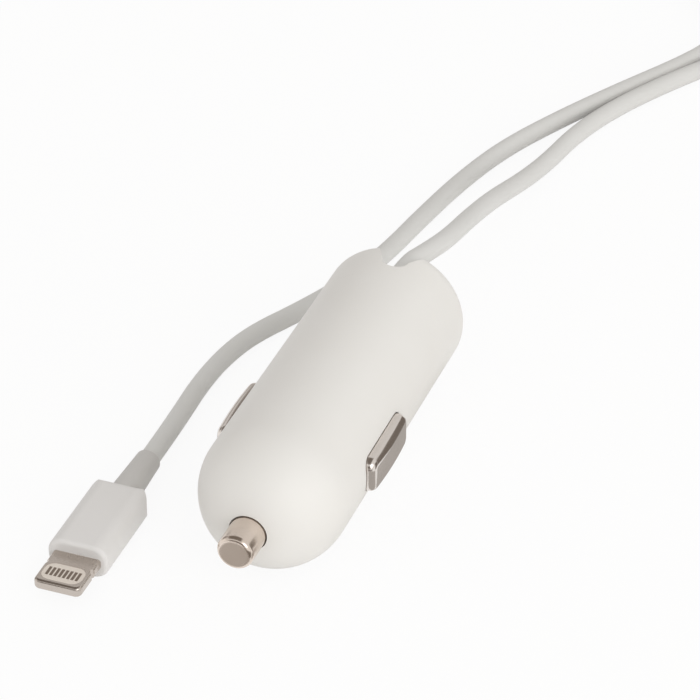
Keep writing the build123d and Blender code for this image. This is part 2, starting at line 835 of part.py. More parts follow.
# Sleeve: tapered strain relief between the boot and the cord
with BuildPart() as connector_sleeve:
    with BuildSketch(sleeve_plane):
        with BuildLine():
            Polyline(
                (0, boot_rear_y - sleeve_root),
                (sleeve_base_radius, boot_rear_y - sleeve_root),
                (sleeve_end_radius, sleeve_end_y),
                (0, sleeve_end_y),
                close=True,
            )
        make_face()
    revolve(axis=sleeve_axis)
    fillet(connector_sleeve.edges().filter_by(GeomType.CIRCLE).group_by(Axis.Y)[-1], sleeve_edge)
save(connector_sleeve.part, "connector_sleeve")

# Boot: soft-edged moulding round the tongue's root and the identity board
with BuildPart() as connector_boot:
    with BuildSketch(across(connector_front_y)):
        with Locations((-connector_x, connector_z)):
            RectangleRounded(boot_width, boot_height, boot_side_round)
    extrude(amount=boot_length)
    with BuildSketch(Plane.XY):
        with Locations((connector_x, connector_front_y)):
            with Locations((0, boot_length / 2)):
                RectangleRounded(boot_width, boot_length, boot_rear_corner)
            with Locations((0, boot_rear_corner)):
                Rectangle(boot_width, 2 * boot_rear_corner)
    extrude(amount=boot_height, mode=Mode.INTERSECT)
    with BuildSketch(boot_side_plane):
        with Locations((boot_length / 2, 0)):
            RectangleRounded(boot_length, boot_height, boot_rear_round)
        with Locations((boot_rear_round, 0)):
            Rectangle(2 * boot_rear_round, boot_height)
    extrude(amount=boot_width / 2, both=True, mode=Mode.INTERSECT)
    fillet(connector_boot.faces().sort_by(Axis.Y)[0].edges(), boot_front_edge)
    add(connector_tongue.part, mode=Mode.SUBTRACT)
    add(identity_board.part, mode=Mode.SUBTRACT)
    add(connector_sleeve.part, mode=Mode.SUBTRACT)
save(connector_boot.part, "connector_boot")
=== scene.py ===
"""Finish, cord, stage and camera for a car charger plug with a fixed cord and phone connector."""
import json
import math

import bpy
from bpy.props import FloatProperty, FloatVectorProperty, IntProperty, PointerProperty
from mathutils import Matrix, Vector


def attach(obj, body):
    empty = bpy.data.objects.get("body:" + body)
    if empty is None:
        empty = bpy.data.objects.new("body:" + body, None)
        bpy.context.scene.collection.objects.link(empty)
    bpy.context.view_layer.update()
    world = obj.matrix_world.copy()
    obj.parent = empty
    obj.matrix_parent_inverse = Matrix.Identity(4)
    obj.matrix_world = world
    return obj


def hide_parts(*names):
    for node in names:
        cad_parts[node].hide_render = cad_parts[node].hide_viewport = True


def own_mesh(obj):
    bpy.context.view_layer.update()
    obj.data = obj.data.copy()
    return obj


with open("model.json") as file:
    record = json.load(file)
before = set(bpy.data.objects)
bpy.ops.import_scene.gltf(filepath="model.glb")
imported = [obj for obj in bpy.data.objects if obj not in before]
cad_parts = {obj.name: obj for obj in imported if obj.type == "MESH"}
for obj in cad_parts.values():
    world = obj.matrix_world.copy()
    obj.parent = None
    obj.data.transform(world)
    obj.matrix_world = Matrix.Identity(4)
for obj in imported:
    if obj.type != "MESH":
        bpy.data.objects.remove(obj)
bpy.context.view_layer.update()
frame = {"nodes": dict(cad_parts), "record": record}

bl_info = {
    "name": "Car Charger Plug Finish",
    "version": (1, 0, 0),
    "blender": (4, 5, 0),
    "location": "View3D > Sidebar > Charger",
    "description": "Gives a car charger plug its finishes, its cord and a studio stage",
    "category": "Object",
}

NODES = frame["nodes"]

# Points of the cord's route in millimetres, from the plug to the coil and on to the connector
PLUG_RUN = (
    (0.7, 18.9, 16.9),
    (0.7, 29.4, 16.9),
    (2.1, 34.4, 16.3),
    (2.7, 42.0, 14.3),
    (2.0, 53.0, 10.9),
    (1.7, 65.0, 7.2),
    (2.1, 78.0, 2.9),
    (3.2, 87.0, 1.4),
    (4.7, 96.5, 1.4),
    (8.0, 106.0, 1.4),
    (13.2, 116.0, 1.4),
    (19.6, 126.2, 1.4),
    (29.4, 136.4, 1.5),
    (39.6, 146.1, 1.9),
)
CONNECTOR_RUN = (
    (8.2, 158.5, 4.6),
    (8.2, 152.0, 5.0),
    (12.2, 145.2, 3.4),
    (16.6, 138.0, 1.4),
    (17.2, 130.0, 1.4),
    (13.7, 122.3, 1.4),
    (7.2, 111.3, 1.4),
    (0.9, 99.6, 1.4),
    (-4.2, 88.6, 1.4),
    (-7.3, 77.4, 1.4),
    (-9.4, 65.4, 1.4),
    (-10.9, 54.4, 1.4),
    (-13.6, 43.6, 1.4),
    (-17.2, 35.4, 1.4),
    (-21.4, 27.4, 1.4),
    (-23.1, 20.4, 1.4),
    (-23.6, 13.2, 1.4),
    (-23.2, 6.4, 1.7),
    (-22.6, -1.65, 2.5),
    (-22.6, -7.25, 2.5),
)

# Roundness of the cord and smoothness along it
CORD_SIDES = 6
CORD_STEPS = 10

# Middle of the coil in millimetres, its turns on the table and on top of those
COIL_MIDDLE = (25.0, 161.5, 0.0)
LOWER_TURNS = 4
UPPER_TURNS = 3

# Angles of the coil in degrees: its start and finish, the stretch in which a turn shifts to its
# own place, the swing of the first upper turn over the innermost one, and the place of the tie
COIL_START = -38.0
COIL_FINISH = 178.0
COIL_CHANGE = 52.0
CLIMB_ANGLE = 120.0
TIE_ANGLE = 28.0

# Height of a row of turns that lies on another row, in cord diameters
ROW_RISE = math.sqrt(3) / 2

# Strap: degrees for each step of a bend, its rounded end, its edges and where its faces break
STRAP_BEND_STEP = 15
STRAP_END_STEPS = 4
STRAP_EDGE_STEPS = 2
STRAP_EDGE_ANGLE = math.radians(50)
STRAP_SMOOTH_ANGLE = math.radians(40)

# Springs: distance in metres within which loose corners are joined, and where the faces break
SPRING_WELD = 1e-6
SPRING_SMOOTH_ANGLE = math.radians(35)

# Directions of the polishing lines on metal: small where the lines run
LINES_ALONG_X = (0.04, 1.0, 1.0)
LINES_ALONG_Y = (1.0, 0.04, 1.0)
LINES_ALONG_Z = (1.0, 1.0, 0.05)
LINES_ROUND_Y = (0.04, 1.0, 0.04)
LINES_ROUND_Z = (0.05, 0.05, 1.0)

# Depths of the relief in metres, and scales and weights of the textures
GRAIN_RELIEF = 0.00003
POLISH_RELIEF = 0.00001
PLASTIC_IOR = 1.48
COARSE_GRAIN_SCALE = 0.13
COARSE_GRAIN_WEIGHT = 0.6
HAZE_SCALE = 420.0
METAL_TONE_SCALE = 260.0
METAL_TONE_DEPTH = 0.08

# Flat end of the tip: how squarely a face looks ahead, and the roughness where it does
TIP_AHEAD = (0.0, -1.0, 0.0)
TIP_FLAT_FROM = 0.97
TIP_FLAT_TO = 0.995
TIP_END_ROUGHNESS = 0.36

# Camera, table and lamps, in metres apart from the sensor's width in millimetres
CAMERA_TARGET = (-0.00515, 0.02364, 0.005)
CAMERA_SENSOR = 36.0
CAMERA_NEAR = 0.01
TABLE_SIZE = 6.0
TABLE_PLACE = (0.0, 0.0, -0.00002)
TABLE_TONE = (0.95, 0.945, 0.94, 1.0)
TABLE_WHITE_SHARE = 0.9
KEY_PLACE = (0.62, -0.55, 0.42)
KEY_SIZE = 0.5
FILL_PLACE = (0.36, -0.06, 0.05)
FILL_TARGET = (0.0, -0.005, 0.008)
FILL_SIZE = 0.2
ROOM_SLOPE = (0.86, -0.51, 0.0)

# Studio cards that only mirrors see: tone, and opposite corners in metres
CARDS = {
    "card_beside": ("dark", (0.020, 0.012, 0.0), (0.037, 0.045, 0.024)),
    "card_beside_front": ("dark", (0.036, -0.008, 0.0), (0.050, 0.010, 0.024)),
    "card_rear_right": ("dark", (0.06, 0.06, 0.0002), (0.75, 0.75, 0.0010)),
    "card_left": ("dark", (-0.62, 0.02, 0.10), (-0.61, 0.30, 0.40)),
    "card_front": ("dark", (0.009, -0.30, 0.0002), (0.08, -0.038, 0.0008)),
    "card_front_wall": ("dark", (-0.45, -0.71, 0.05), (0.40, -0.70, 0.40)),
    "card_above": ("dark", (-0.60, -0.45, 0.50), (0.20, 0.35, 0.51)),
    "card_rear_left": ("mid", (-0.46, 0.28, 0.0), (-0.18, 0.45, 0.12)),
    "card_over_left": ("mid", (-0.040, 0.044, 0.028), (-0.019, 0.045, 0.046)),
    "card_over_left_front": ("dark", (-0.040, 0.044, 0.046), (-0.019, 0.045, 0.066)),
    "card_under_tip": ("mid", (-0.014, -0.075, 0.0002), (0.008, -0.036, 0.0008)),
    "card_under_nose": ("mid", (0.011, -0.034, 0.0002), (0.030, -0.007, 0.0008)),
    "card_under_contact": ("mid", (0.009, -0.004, 0.0002), (0.020, 0.030, 0.0008)),
    "card_right": ("bright", (0.36, -0.42, 0.0), (0.46, -0.24, 0.16)),
    "card_left_front": ("bright", (-0.62, -0.50, 0.0), (-0.61, -0.06, 0.25)),
}


def colour_property(label, text, default):
    """Colour that a user can change in the sidebar."""
    return FloatVectorProperty(
        name=label,
        description=text,
        subtype="COLOR",
        size=3,
        min=0.0,
        max=1.0,
        default=default,
    )


def length_property(label, text, default):
    """Length in metres that a user can change in the sidebar."""
    return FloatProperty(
        name=label, description=text, unit="LENGTH", min=0.0, precision=5, default=default
    )


def angle_property(label, text, degrees):
    """Angle, given in degrees, that a user can change in the sidebar."""
    return FloatProperty(
        name=label, description=text, subtype="ANGLE", default=math.radians(degrees)
    )


def power_property(label, text, default):
    """Lamp's power in watts that a user can change in the sidebar."""
    return FloatProperty(name=label, description=text, unit="POWER", default=default)


class ChargerSizes(bpy.types.PropertyGroup):
    """Sizes of the cord, its coil and the surface textures."""

    cord_diameter: length_property(
        "Cord diameter", "Outside diameter of the cord's jacket", 0.0028
    )
    cord_length: length_property(
        "Cord length", "Real length of the cord from the plug to the connector", 0.9
    )
    coil_radius: length_property(
        "Coil radius", "Radius at the middle of the coil's turns", 0.014
    )
    coil_lift: length_property(
        "Coil lift", "Height of the tie under the coil's lowest turns", 0.00055
    )
    coil_points: IntProperty(
        name="Points per turn", description="Control points in one turn of the coil", default=24
    )
    tie_width: length_property("Tie width", "Width of the strap round the coil", 0.0039)
    tie_thickness: length_property(
        "Tie thickness", "Thickness of the strap round the coil", 0.0004
    )
    tie_slack: length_property(
        "Tie slack", "Room between the strap and the turns that it holds", 0.0001
    )
    grain_size: length_property(
        "Grain size", "Size of the moulded plastic's fine grain", 0.00022
    )
    mottle_size: length_property("Mottle size", "Size of the slow changes in tone", 0.009)
    polish_size: length_property(
        "Polish line size", "Spacing of the polishing lines on metal", 0.00016
    )


class ChargerColours(bpy.types.PropertyGroup):
    """Colours of the charger's finishes."""

    shell: colour_property("Shell", "Satin white moulding of the plug", (0.80, 0.785, 0.755))
    boot: colour_property("Boot", "Moulding of the connector's boot", (0.76, 0.745, 0.73))
    sleeve: colour_property("Sleeve", "Strain relief behind the boot", (0.60, 0.585, 0.565))
    jacket: colour_property("Jacket", "Soft jacket of the cord", (0.70, 0.695, 0.675))
    nickel: colour_property("Nickel", "Polished plate of the tip", (0.79, 0.69, 0.61))
    contact: colour_property(
        "Contact", "Polished plate of the side contacts", (0.80, 0.745, 0.70)
    )
    tongue: colour_property("Tongue", "Satin plate of the connector's tongue", (0.60, 0.54, 0.49))
    insulator: colour_property(
        "Insulator", "Moulding between the contact pads", (0.75, 0.68, 0.61)
    )
    pads: colour_property("Pads", "Plated contact pads", (0.27, 0.22, 0.18))
    steel: colour_property("Steel", "Spring steel", (0.56, 0.56, 0.57))
    brass: colour_property("Brass", "Stamped terminals", (0.72, 0.55, 0.27))
    copper: colour_property("Copper", "Enamelled winding", (0.66, 0.26, 0.11))
    board: colour_property("Board", "Solder mask of the boards", (0.03, 0.16, 0.06))
    can: colour_property("Can", "Drawn aluminium cans", (0.70, 0.71, 0.73))
    epoxy: colour_property("Epoxy", "Moulded chip bodies", (0.018, 0.018, 0.02))
    ferrite: colour_property("Ferrite", "Inductor core", (0.05, 0.05, 0.055))
    ceramic: colour_property("Ceramic", "Chip capacitors and fuse", (0.48, 0.36, 0.24))
    supply: colour_property("Supply lead", "Insulation of the supply lead", (0.40, 0.012, 0.01))
    earth: colour_property("Return lead", "Insulation of the return lead", (0.012, 0.012, 0.012))
    tie: colour_property("Tie", "Soft band round the coil", (0.62, 0.62, 0.60))


class ChargerStage(bpy.types.PropertyGroup):
    """Camera and light of the studio."""

    azimuth: angle_property("Azimuth", "Turn of the camera from the nose", 20.64)
    elevation: angle_property("Elevation", "Height of the camera above the table", 34.21)
    distance: length_property("Distance", "Camera to the point that it looks at", 0.52767)
    lens: FloatProperty(
        name="Lens",
        description="Focal length in millimetres",
        subtype="DISTANCE_CAMERA",
        default=194.14,
    )
    key_power: power_property("Key light", "Power of the soft key light in watts", 1.95)
    fill_power: power_property(
        "Fill light", "Power of the low fill light at the right in watts", 0.14
    )
    room_rear: colour_property(
        "Room light, rear",
        "Light that comes from behind and from the left",
        (0.685, 0.665, 0.65),
    )
    room_front: colour_property(
        "Room light, front",
        "Light that comes from the front and from the right",
        (0.87, 0.865, 0.85),
    )
    card_dark: colour_property(
        "Dark card", "Dark cards that the bright metal mirrors", (0.19, 0.165, 0.145)
    )
    card_mid: colour_property(
        "Grey card", "Grey cards that the bright metal mirrors", (0.46, 0.44, 0.42)
    )
    card_bright: colour_property(
        "Bright card", "Bright cards that the bright metal mirrors", (1.0, 0.985, 0.96)
    )


def sizes():
    """Sizes as they stand in the sidebar."""
    return bpy.context.scene.charger_sizes


def colours():
    """Colours as they stand in the sidebar."""
    return bpy.context.scene.charger_colours


def metres(point):
    """Point in metres from one in millimetres."""
    return tuple(value / 1000 for value in point)


def new_group(name, inputs, outputs):
    """Empty shader node group with named sockets; inputs give a socket type and a default."""
    group = bpy.data.node_groups.new(name, "ShaderNodeTree")
    for label, kind, default in inputs:
        socket = group.interface.new_socket(label, in_out="INPUT", socket_type=kind)
        if default is not None:
            socket.default_value = default
    for label, kind in outputs:
        group.interface.new_socket(label, in_out="OUTPUT", socket_type=kind)
    entry = group.nodes.new("NodeGroupInput")
    leave = group.nodes.new("NodeGroupOutput")
    return group, entry.outputs, leave.inputs


def feed(tree, value, socket):
    """Put a value into a socket: a number directly, another socket by a link."""
    if isinstance(value, (int, float)):
        socket.default_value = value
    else:
        tree.links.new(value, socket)


def noise(tree, vector, scale, detail, rough):
    """Noise texture on a vector; scale is a number or a socket."""
    node = tree.nodes.new("ShaderNodeTexNoise")
    tree.links.new(vector, node.inputs["Vector"])
    feed(tree, scale, node.inputs["Scale"])
    node.inputs["Detail"].default_value = detail
    node.inputs["Roughness"].default_value = rough
    return node.outputs["Fac"]


def spread(tree, value, low, high, start=0.0, stop=1.0):
    """Value from start to stop mapped to the range from low to high, numbers or sockets."""
    node = tree.nodes.new("ShaderNodeMapRange")
    tree.links.new(value, node.inputs["Value"])
    node.inputs["From Min"].default_value = start
    node.inputs["From Max"].default_value = stop
    feed(tree, low, node.inputs["To Min"])
    feed(tree, high, node.inputs["To Max"])
    return node.outputs["Result"]


def calculate(tree, operation, *values, clamp=False):
    """Result of a sum on numbers or sockets."""
    node = tree.nodes.new("ShaderNodeMath")
    node.operation = operation
    node.use_clamp = clamp
    for value, socket in zip(values, node.inputs):
        feed(tree, value, socket)
    return node.outputs["Value"]


def facing(tree, vector, direction):
    """How squarely a vector points in a direction."""
    node = tree.nodes.new("ShaderNodeVectorMath")
    node.operation = "DOT_PRODUCT"
    tree.links.new(vector, node.inputs[0])
    node.inputs[1].default_value = direction
    return node.outputs["Value"]


def mottle_group():
    """Slow changes of tone: a colour with lighter and darker, warmer and cooler places."""
    name = "tone_mottle"
    if name in bpy.data.node_groups:
        return bpy.data.node_groups[name]
    group, entry, leave = new_group(
        name,
        [
            ("Vector", "NodeSocketVector", None),
            ("Colour", "NodeSocketColor", (0.8, 0.8, 0.8, 1.0)),
            ("Scale", "NodeSocketFloat", 110.0),
            ("Depth", "NodeSocketFloat", 0.05),
        ],
        [("Colour", "NodeSocketColor"), ("Mask", "NodeSocketFloat")],
    )
    slow = noise(group, entry["Vector"], entry["Scale"], detail=3.0, rough=0.55)
    darkest = calculate(group, "SUBTRACT", 1.0, entry["Depth"])
    tone = group.nodes.new("ShaderNodeHueSaturation")
    group.links.new(entry["Colour"], tone.inputs["Color"])
    group.links.new(spread(group, slow, darkest, 1.0), tone.inputs["Value"])
    group.links.new(spread(group, slow, 1.15, 0.85), tone.inputs["Saturation"])
    group.links.new(tone.outputs["Color"], leave["Colour"])
    group.links.new(slow, leave["Mask"])
    return group


def grain_group():
    """Fine spark-eroded grain of a moulding: a height for bump and a mask for gloss."""
    name = "moulded_grain"
    if name in bpy.data.node_groups:
        return bpy.data.node_groups[name]
    group, entry, leave = new_group(
        name,
        [("Vector", "NodeSocketVector", None), ("Scale", "NodeSocketFloat", 4500.0)],
        [("Height", "NodeSocketFloat"), ("Gloss", "NodeSocketFloat")],
    )
    fine = noise(group, entry["Vector"], entry["Scale"], detail=4.0, rough=0.62)
    coarse_scale = calculate(group, "MULTIPLY", entry["Scale"], COARSE_GRAIN_SCALE)
    coarse = noise(group, entry["Vector"], coarse_scale, detail=2.0, rough=0.5)
    height = calculate(group, "MULTIPLY_ADD", coarse, COARSE_GRAIN_WEIGHT, fine)
    group.links.new(height, leave["Height"])
    group.links.new(coarse, leave["Gloss"])
    return group


def polish_group():
    """Fine polishing lines that run round or along a metal piece: a height and a gloss mask."""
    name = "polish_lines"
    if name in bpy.data.node_groups:
        return bpy.data.node_groups[name]
    group, entry, leave = new_group(
        name,
        [
            ("Vector", "NodeSocketVector", None),
            ("Stretch", "NodeSocketVector", (1.0, 1.0, 1.0)),
            ("Scale", "NodeSocketFloat", 6000.0),
        ],
        [("Height", "NodeSocketFloat"), ("Gloss", "NodeSocketFloat")],
    )
    stretch = group.nodes.new("ShaderNodeVectorMath")
    stretch.operation = "MULTIPLY"
    group.links.new(entry["Vector"], stretch.inputs[0])
    group.links.new(entry["Stretch"], stretch.inputs[1])
    lines = noise(group, stretch.outputs["Vector"], entry["Scale"], detail=3.0, rough=0.6)
    haze = noise(group, entry["Vector"], HAZE_SCALE, detail=3.0, rough=0.6)
    group.links.new(lines, leave["Height"])
    group.links.new(haze, leave["Gloss"])
    return group


def place_group(tree, group, vector, **values):
    """Outputs of a group in a material, with its vector linked and its other inputs set."""
    node = tree.nodes.new("ShaderNodeGroup")
    node.node_tree = group
    tree.links.new(vector, node.inputs["Vector"])
    for label, value in values.items():
        node.inputs[label].default_value = value
    return node.outputs


def new_material(name):
    """Material with a shader and Object coordinates, ready for a finish."""
    material = bpy.data.materials.new(name)
    material.use_nodes = True
    tree = material.node_tree
    shader = tree.nodes["Principled BSDF"]
    place = tree.nodes.new("ShaderNodeTexCoord")
    return material, tree, shader, place.outputs["Object"]


def bare_material(name):
    """Material with no shader yet, and the socket that its surface goes to."""
    material = bpy.data.materials.new(name)
    material.use_nodes = True
    tree = material.node_tree
    tree.nodes.clear()
    leave = tree.nodes.new("ShaderNodeOutputMaterial")
    return material, tree, leave.inputs["Surface"]


def add_bump(tree, shader, height, strength, depth):
    """Bump from a height into the shader's normal."""
    bump = tree.nodes.new("ShaderNodeBump")
    bump.inputs["Strength"].default_value = strength
    bump.inputs["Distance"].default_value = depth
    tree.links.new(height, bump.inputs["Height"])
    tree.links.new(bump.outputs["Normal"], shader.inputs["Normal"])


def moulded(name, colour, rough, grain=1.0, depth=0.05, strength=0.25):
    """Moulded plastic or rubber: mottled tone, fine grain, and gloss that varies with it."""
    material, tree, shader, vector = new_material(name)
    tone = place_group(
        tree,
        mottle_group(),
        vector,
        Colour=(*colour, 1.0),
        Scale=1 / sizes().mottle_size,
        Depth=depth,
    )
    fine = place_group(tree, grain_group(), vector, Scale=grain / sizes().grain_size)
    tree.links.new(tone["Colour"], shader.inputs["Base Color"])
    tree.links.new(spread(tree, fine["Gloss"], *rough), shader.inputs["Roughness"])
    add_bump(tree, shader, fine["Height"], strength, GRAIN_RELIEF)
    shader.inputs["IOR"].default_value = PLASTIC_IOR
    return material


def polished(name, colour, rough, stretch=LINES_ALONG_Y, strength=0.06):
    """Bare or plated metal: fine polishing lines, and a faint haze in the gloss."""
    material, tree, shader, vector = new_material(name)
    tone = place_group(
        tree,
        mottle_group(),
        vector,
        Colour=(*colour, 1.0),
        Scale=METAL_TONE_SCALE,
        Depth=METAL_TONE_DEPTH,
    )
    lines = place_group(
        tree, polish_group(), vector, Stretch=stretch, Scale=1 / sizes().polish_size
    )
    tree.links.new(tone["Colour"], shader.inputs["Base Color"])
    tree.links.new(spread(tree, lines["Gloss"], *rough), shader.inputs["Roughness"])
    add_bump(tree, shader, lines["Height"], strength, POLISH_RELIEF)
    shader.inputs["Metallic"].default_value = 1.0
    return material


def dress(material, *nodes):
    """Give CAD nodes a finish in place of their plain one."""
    for node in nodes:
        mesh = NODES[node].data
        mesh.materials.clear()
        mesh.materials.append(material)


def aim(item, target):
    """Turn an object so that its -Z looks at a point."""
    sight = Vector(target) - item.location
    item.rotation_euler = sight.to_track_quat("-Z", "Y").to_euler()


def add_area(name, place, target, size, power):
    """Soft square lamp aimed at a point."""
    bpy.ops.object.light_add(type="AREA", location=place)
    lamp = bpy.context.object
    lamp.name = name
    lamp.data.shape = "SQUARE"
    lamp.data.size = size
    lamp.data.energy = power
    aim(lamp, target)
    return lamp


class CHARGER_OT_stage(bpy.types.Operator):
    """Camera at the photograph's angle, pale floor, soft lamps, room light and studio cards"""

    bl_idname = "charger.stage"
    bl_label = "Stage"

    def execute(self, context):
        setting = context.scene.charger_stage
        context.scene.view_settings.view_transform = "Standard"
        self.camera(context, setting)
        bpy.ops.mesh.primitive_plane_add(size=TABLE_SIZE, location=TABLE_PLACE)
        floor = context.object
        floor.name = "table"
        floor.data.materials.append(self.table_finish())
        add_area("key", KEY_PLACE, CAMERA_TARGET, KEY_SIZE, setting.key_power)
        fill = add_area("fill", FILL_PLACE, FILL_TARGET, FILL_SIZE, setting.fill_power)
        fill.visible_glossy = False
        self.room_light(context, setting)
        finishes = {tone: self.card_finish(tone, setting) for tone in ("dark", "mid", "bright")}
        for name, (tone, *corners) in CARDS.items():
            self.studio_card(context, name, corners, finishes[tone])
        return {"FINISHED"}

    def camera(self, context, setting):
        """Camera that looks at the plug from in front and above."""
        target = Vector(CAMERA_TARGET)
        turn, rise = setting.azimuth, setting.elevation
        level = math.cos(rise)
        back = Vector((math.sin(turn) * level, -math.cos(turn) * level, math.sin(rise)))
        bpy.ops.object.camera_add(location=target + setting.distance * back)
        camera = context.object
        camera.data.lens = setting.lens
        camera.data.sensor_width = CAMERA_SENSOR
        camera.data.clip_start = CAMERA_NEAR
        aim(camera, target)
        context.scene.camera = camera

    def card_finish(self, tone, setting):
        """Even face of a studio card."""
        material, tree, surface = bare_material("card_" + tone)
        face = tree.nodes.new("ShaderNodeEmission")
        face.inputs["Color"].default_value = (*getattr(setting, "card_" + tone), 1.0)
        tree.links.new(face.outputs["Emission"], surface)
        return material

    def studio_card(self, context, name, corners, finish):
        """Card between two opposite corners, which only mirrors see."""
        low, high = (Vector(corner) for corner in corners)
        bpy.ops.mesh.primitive_cube_add(size=1.0, location=(low + high) / 2, scale=high - low)
        card = context.object
        card.name = name
        card.data.materials.append(finish)
        card.visible_camera = False
        card.visible_diffuse = False
        card.visible_shadow = False

    def table_finish(self):
        """Pale table that reads as white to the eye and in metal, and keeps a faint shadow."""
        material, tree, surface = bare_material("table_pale")
        matt = tree.nodes.new("ShaderNodeBsdfDiffuse")
        matt.inputs["Color"].default_value = TABLE_TONE
        white = tree.nodes.new("ShaderNodeEmission")
        path = tree.nodes.new("ShaderNodeLightPath").outputs
        seen = calculate(tree, "ADD", path["Is Camera Ray"], path["Is Glossy Ray"], clamp=True)
        seen = calculate(tree, "ADD", seen, path["Is Transmission Ray"], clamp=True)
        mix = tree.nodes.new("ShaderNodeMixShader")
        tree.links.new(calculate(tree, "MULTIPLY", seen, TABLE_WHITE_SHARE), mix.inputs["Fac"])
        tree.links.new(matt.outputs["BSDF"], mix.inputs[1])
        tree.links.new(white.outputs["Emission"], mix.inputs[2])
        tree.links.new(mix.outputs["Shader"], surface)
        return material

    def room_light(self, context, setting):
        """Soft room light, dimmer from the rear left, that shows white behind the table."""
        world = bpy.data.worlds.new("room")
        context.scene.world = world
        world.use_nodes = True
        tree = world.node_tree
        plain = tree.nodes["Background"]
        place = tree.nodes.new("ShaderNodeTexCoord")
        slope = facing(tree, place.outputs["Generated"], ROOM_SLOPE)
        tone = tree.nodes.new("ShaderNodeMix")
        tone.data_type = "RGBA"
        tone.inputs["A"].default_value = (*setting.room_rear, 1.0)
        tone.inputs["B"].default_value = (*setting.room_front, 1.0)
        tree.links.new(spread(tree, slope, 0.0, 1.0, start=-1.0), tone.inputs["Factor"])
        tree.links.new(tone.outputs["Result"], plain.inputs["Color"])
        white = tree.nodes.new("ShaderNodeBackground")
        path = tree.nodes.new("ShaderNodeLightPath")
        mix = tree.nodes.new("ShaderNodeMixShader")
        tree.links.new(path.outputs["Is Camera Ray"], mix.inputs["Fac"])
        tree.links.new(plain.outputs["Background"], mix.inputs[1])
        tree.links.new(white.outputs["Background"], mix.inputs[2])
        tree.links.new(mix.outputs["Shader"], tree.nodes["World Output"].inputs["Surface"])


class CHARGER_OT_cord(bpy.types.Operator):
    """Cord from the plug through its tied coil to the phone connector, on one smooth line"""

    bl_idname = "charger.cord"
    bl_label = "Cord"

    def seat(self, turn, share):
        """Radial place and height of a turn, in cord diameters; upper turns ride on lower ones."""
        below = [(LOWER_TURNS + 1) / 2 - index - share for index in range(LOWER_TURNS)]
        if turn < LOWER_TURNS:
            return below[turn], 0.0
        if turn == LOWER_TURNS:
            place = below[-1] - math.cos(math.radians(CLIMB_ANGLE * share))
        else:
            place = turn - LOWER_TURNS - (UPPER_TURNS + 1) / 2 + share
        gap = min(abs(place - other) for other in below)
        return place, math.sqrt(max(0.0, 1.0 - gap * gap))

    def coil_points(self):
        """Turns of the coil, anticlockwise: inwards on the table, then outwards on top of them."""
        size = sizes()
        d = size.cord_diameter
        low = size.coil_lift + d / 2
        middle = Vector(metres(COIL_MIDDLE))
        step = 360.0 / size.coil_points
        last = LOWER_TURNS + UPPER_TURNS - 1
        count = int((last * 360.0 + COIL_FINISH - COIL_START) / step)
        for index in range(count + 1):
            swept = index * step
            turn = min(int(swept // 360.0), last)
            share = min(1.0, (swept - 360.0 * turn) / COIL_CHANGE)
            eased = share * share * (3 - 2 * share)
            place, height = self.seat(turn, eased)
            radius = size.coil_radius + place * d
            angle = math.radians(COIL_START + swept)
            across = Vector((math.cos(angle), math.sin(angle), 0.0))
            yield middle + radius * across + Vector((0.0, 0.0, low + height * d))

    def execute(self, context):
        size = sizes()
        line = bpy.data.curves.new("cord", "CURVE")
        line.dimensions = "3D"
        line.bevel_depth = size.cord_diameter / 2
        line.bevel_resolution = CORD_SIDES
        line.resolution_u = CORD_STEPS
        line.use_fill_caps = True
        points = [metres(point) for point in PLUG_RUN]
        points.extend(self.coil_points())
        points.extend(metres(point) for point in CONNECTOR_RUN)
        spline = line.splines.new("NURBS")
        spline.points.add(len(points) - 1)
        for spot, point in zip(spline.points, points):
            spot.co = (*point, 1.0)
        spline.order_u = 3
        spline.use_endpoint_u = True
        cord = bpy.data.objects.new("cord", line)
        context.scene.collection.objects.link(cord)
        line.materials.append(self.jacket())
        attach(cord, "plug")
        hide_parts("cord_plug_run", "cord_connector_run", "cord_coil")
        return {"FINISHED"}

    def jacket(self):
        """Soft jacket with a fine satin grain."""
        tint = colours().jacket
        return moulded("cord_jacket", tint, (0.46, 0.6), grain=0.8, depth=0.06, strength=0.2)


class CHARGER_OT_shell(bpy.types.Operator):
    """Satin white moulding of the housing and the rear cap, and the cord's soft grommet"""

    bl_idname = "charger.shell"
    bl_label = "Shell"

    def execute(self, context):
        tint = colours()
        white = moulded("shell_white", tint.shell, (0.44, 0.56), depth=0.03, strength=0.12)
        dress(white, "housing", "rear_cap")
        dress(moulded("grommet_soft", tint.jacket, (0.48, 0.6), depth=0.05), "cord_grommet")
        return {"FINISHED"}


class CHARGER_OT_contacts(bpy.types.Operator):
    """Polished nickel plate of the centre tip and the side contacts"""

    bl_idname = "charger.contacts"
    bl_label = "Contacts"

    def execute(self, context):
        tint = colours()
        turned = polished("nickel_turned", tint.nickel, (0.15, 0.25), stretch=LINES_ROUND_Y)
        self.dull_end(turned)
        dress(turned, "tip_pin")
        pressed = polished("nickel_pressed", tint.contact, (0.14, 0.22))
        dress(pressed, "side_contact_right", "side_contact_left")
        return {"FINISHED"}

    def dull_end(self, material):
        """Make the tip's flat end, which rubs on the socket's contact, duller than its sides."""
        tree = material.node_tree
        rough = tree.nodes["Principled BSDF"].inputs["Roughness"]
        shine = rough.links[0].from_socket
        face = tree.nodes.new("ShaderNodeNewGeometry")
        ahead = facing(tree, face.outputs["True Normal"], TIP_AHEAD)
        flat = spread(tree, ahead, 0.0, 1.0, start=TIP_FLAT_FROM, stop=TIP_FLAT_TO)
        tree.links.new(spread(tree, flat, shine, TIP_END_ROUGHNESS), rough)


